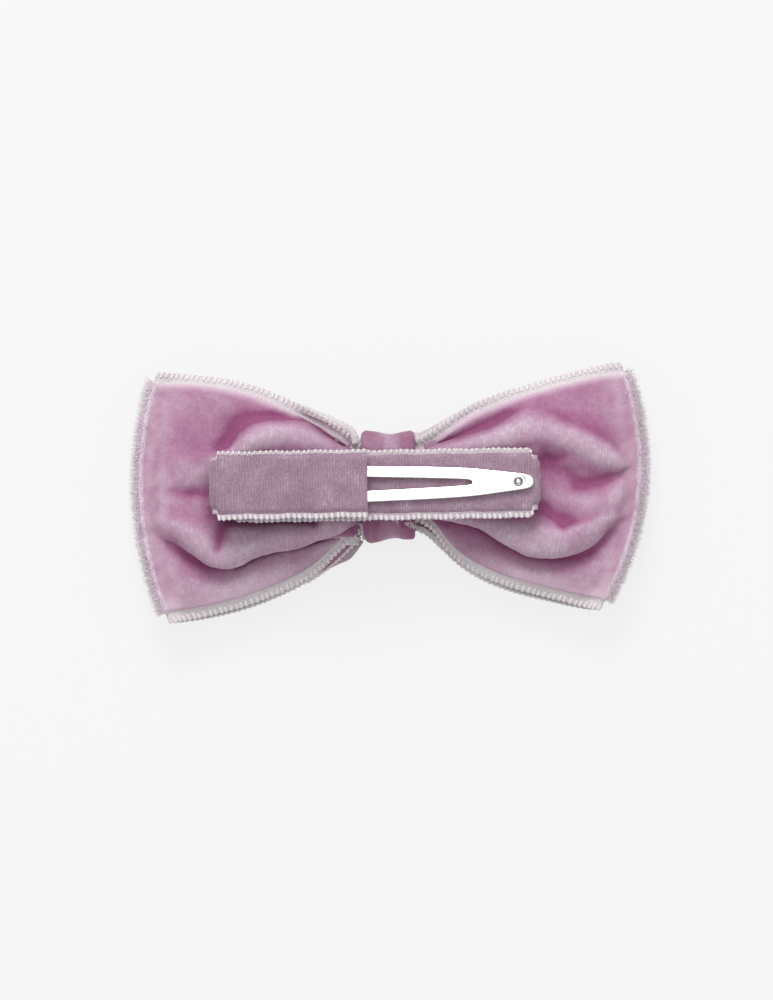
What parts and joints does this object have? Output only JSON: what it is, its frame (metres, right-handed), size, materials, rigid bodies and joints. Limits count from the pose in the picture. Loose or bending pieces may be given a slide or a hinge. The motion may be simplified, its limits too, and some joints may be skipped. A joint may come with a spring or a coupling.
{
  "type": "barrette",
  "caption": "Velvet ribbon bow with two open loops and a plain knot, on a ribbon-lined sprung steel hair clip.",
  "frame": {"origin": "centre of the bow's outline on the plane that its face lies on", "axes": "+X along the bow from the clip's bight to its nose, +Y across the ribbon, +Z from the bow's face to the clip"},
  "size_m": [0.0768, 0.0387, 0.0171],
  "materials": {
    "bow_velvet": "cut-pile velvet with a woven selvage",
    "knot_velvet": "cut-pile velvet",
    "lining_velvet": "cut-pile velvet with a woven selvage",
    "thread": "twisted polyester sewing thread",
    "glue": "set hot-melt glue",
    "spring_steel": "bright nickel-plated spring steel"
  },
  "bodies": {
    "bow": {"bow_loop_left": "bow_velvet", "bow_loop_right": "bow_velvet", "bow_waist": "bow_velvet", "ribbon_end_tab": "bow_velvet", "gathering_thread": "thread", "knot_band": "knot_velvet", "glue_pad": "glue", "lining_ribbon": "lining_velvet", "clip_tongue": "spring_steel"},
    "legs": {"clip_bight": "spring_steel", "clip_legs": "spring_steel", "nose_rivet": "spring_steel", "lining_cover": "lining_velvet"}
  },
  "joints": [
    {"name": "clip_opening", "type": "hinge", "parent": "bow", "child": "legs", "pos_m": [-0.024, 0.0011, 0.01445], "axis": [0.0175, -0.9998, 0], "range_deg": [0, 20]}
  ]
}
